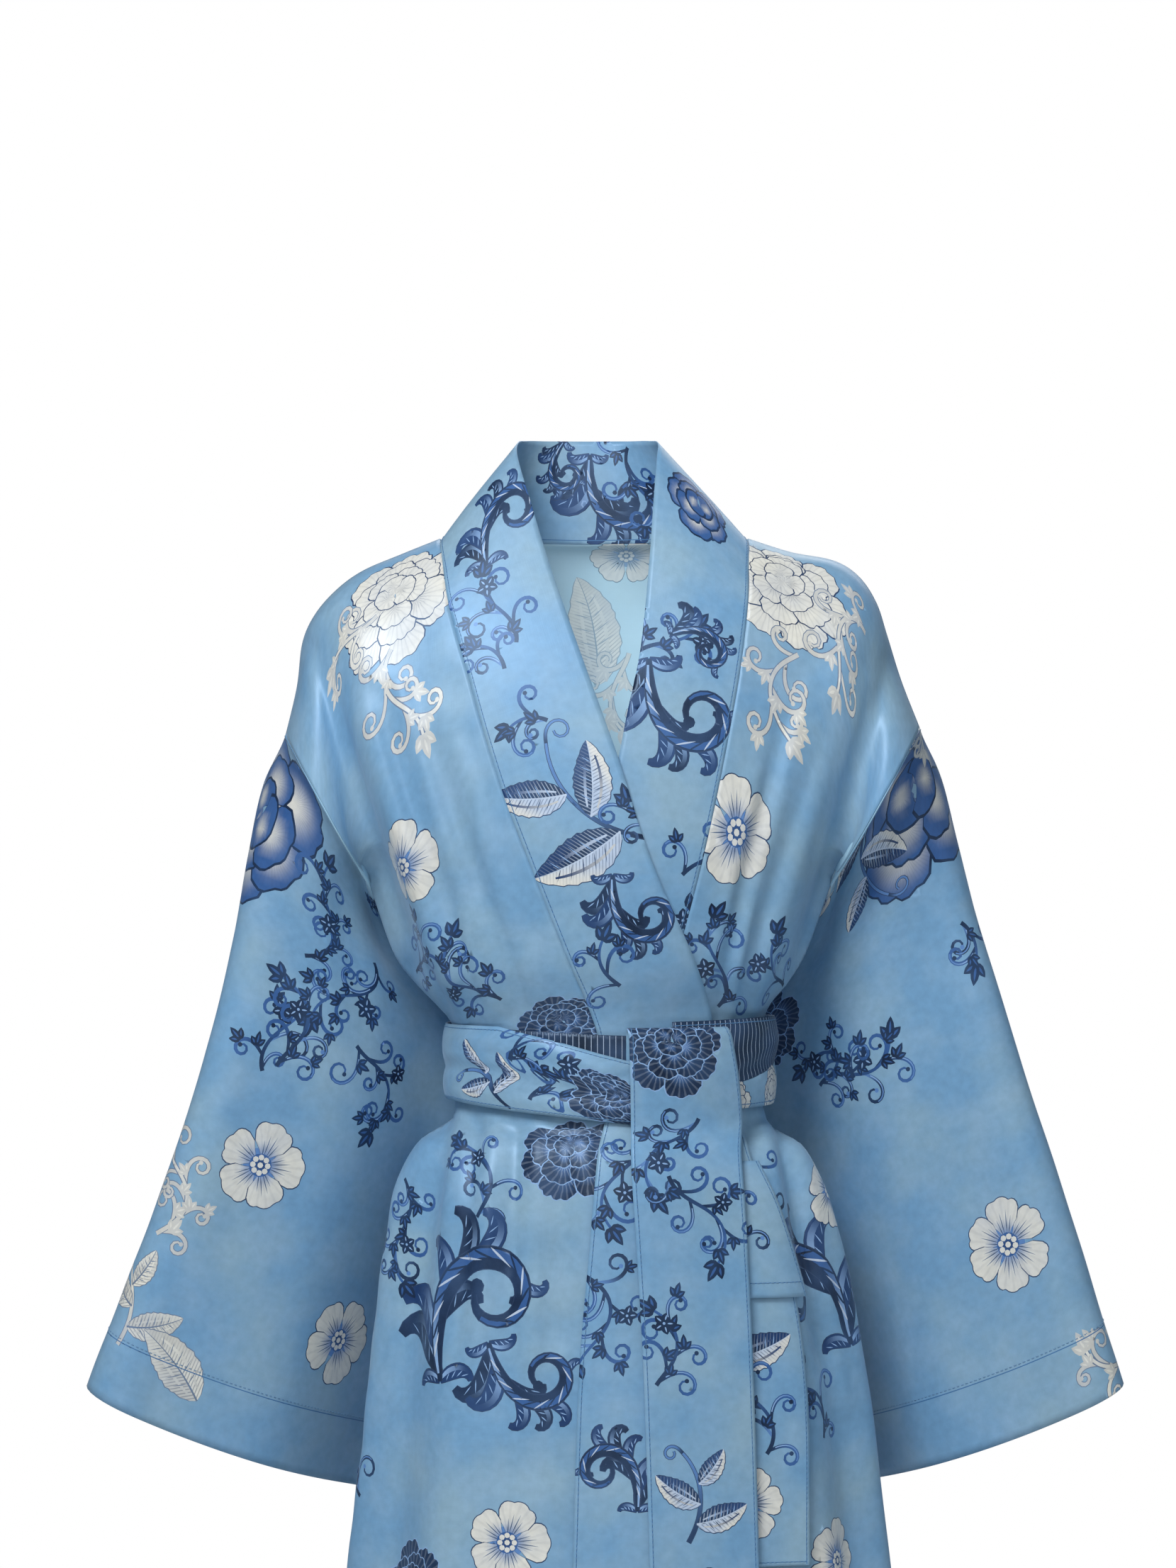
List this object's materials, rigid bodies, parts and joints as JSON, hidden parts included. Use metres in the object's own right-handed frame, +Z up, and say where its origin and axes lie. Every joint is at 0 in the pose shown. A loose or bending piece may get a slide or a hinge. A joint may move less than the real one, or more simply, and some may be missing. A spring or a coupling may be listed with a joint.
{
  "type": "kimono",
  "caption": "Worn wrap kimono robe with wide sleeves, a stand-up collar band and a tied belt, open at neck, cuffs and hem.",
  "frame": {"origin": "midway between the shoulder seams' neck points, at their height, where the wearer's neck and shoulders hold the robe", "axes": "+Z up; -Y is the robe's front; +X is the wearer's left"},
  "size_m": [0.8422, 0.3401, 1.2839],
  "materials": {
    "printed_satin": "satin with a printed flower pattern",
    "belt_satin": "satin, printed outside and with a fine navy stripe inside"
  },
  "bodies": {
    "root": {"front_right": "printed_satin", "front_left": "printed_satin", "back": "printed_satin", "collar_band": "printed_satin", "sleeve_right": "printed_satin", "sleeve_left": "printed_satin", "belt_wrap": "belt_satin", "belt_tail_front": "belt_satin", "belt_tail_right": "belt_satin", "belt_tail_left": "belt_satin", "belt_short_end": "belt_satin"}
  },
  "joints": []
}
